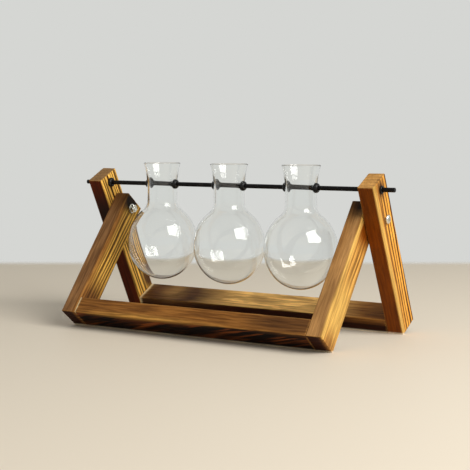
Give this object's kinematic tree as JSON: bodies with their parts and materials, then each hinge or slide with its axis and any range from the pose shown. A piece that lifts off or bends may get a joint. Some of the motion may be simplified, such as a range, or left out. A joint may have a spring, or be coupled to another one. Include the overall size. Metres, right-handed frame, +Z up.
{
  "type": "propagation vase",
  "caption": "Tabletop propagation vase: round glass flasks swing on a steel rod through their necks, carried by a hinged A-frame stand of scorched pine.",
  "frame": {"origin": "on the table, midway along the stand and midway between its foremost and rearmost corners", "axes": "+X along the rod to the right, +Y to the back where the long-legged frame stands, +Z up"},
  "size_m": [0.326, 0.1516, 0.1507],
  "materials": {
    "scorched_pine": "torched and brushed, satin",
    "dowel_wood": "bare turned beech",
    "zinc_plated_steel": "zinc plated",
    "black_rod": "semi-gloss black coating",
    "black_rubber": "smooth, matt",
    "clear_glass": "clear, fire polished"
  },
  "bodies": {
    "rear_frame": {"rear_left_leg": "scorched_pine", "rear_right_leg": "scorched_pine", "rear_rail": "scorched_pine", "rear_rail_dowels": "dowel_wood", "left_hinge_bolt": "zinc_plated_steel", "left_hinge_washer": "zinc_plated_steel", "left_hinge_nut": "zinc_plated_steel", "right_hinge_bolt": "zinc_plated_steel", "right_hinge_washer": "zinc_plated_steel", "right_hinge_nut": "zinc_plated_steel"},
    "front_frame": {"front_left_leg": "scorched_pine", "front_right_leg": "scorched_pine", "front_rail": "scorched_pine", "front_rail_dowels": "dowel_wood"},
    "rod": {"rod": "black_rod", "left_rod_stop": "black_rubber", "left_end_ring": "black_rubber", "right_end_ring": "black_rubber"},
    "left_flask": {"left_flask": "clear_glass", "left_flask_left_grommet": "black_rubber", "left_flask_right_grommet": "black_rubber"},
    "middle_flask": {"middle_flask": "clear_glass", "middle_flask_left_grommet": "black_rubber", "middle_flask_right_grommet": "black_rubber"},
    "right_flask": {"right_flask": "clear_glass", "right_flask_left_grommet": "black_rubber", "right_flask_right_grommet": "black_rubber"}
  },
  "joints": [
    {"name": "front_frame_fold", "type": "hinge", "parent": "rear_frame", "child": "front_frame", "pos_m": [0, 0.01378, 0.10519], "axis": [1, 0, 0], "range_deg": [-75, 50]},
    {"name": "rod_spin", "type": "hinge", "parent": "rear_frame", "child": "rod", "pos_m": [0, 0.00084, 0.13092], "axis": [1, 0, 0], "continuous": true},
    {"name": "left_flask_swing", "type": "hinge", "parent": "rear_frame", "child": "left_flask", "pos_m": [-0.074, 0.00084, 0.13092], "axis": [1, 0, 0], "range_deg": [-80, 80]},
    {"name": "middle_flask_swing", "type": "hinge", "parent": "rear_frame", "child": "middle_flask", "pos_m": [0, 0.00084, 0.13092], "axis": [1, 0, 0], "range_deg": [-80, 80]},
    {"name": "right_flask_swing", "type": "hinge", "parent": "rear_frame", "child": "right_flask", "pos_m": [0.074, 0.00084, 0.13092], "axis": [1, 0, 0], "range_deg": [-80, 80]}
  ]
}
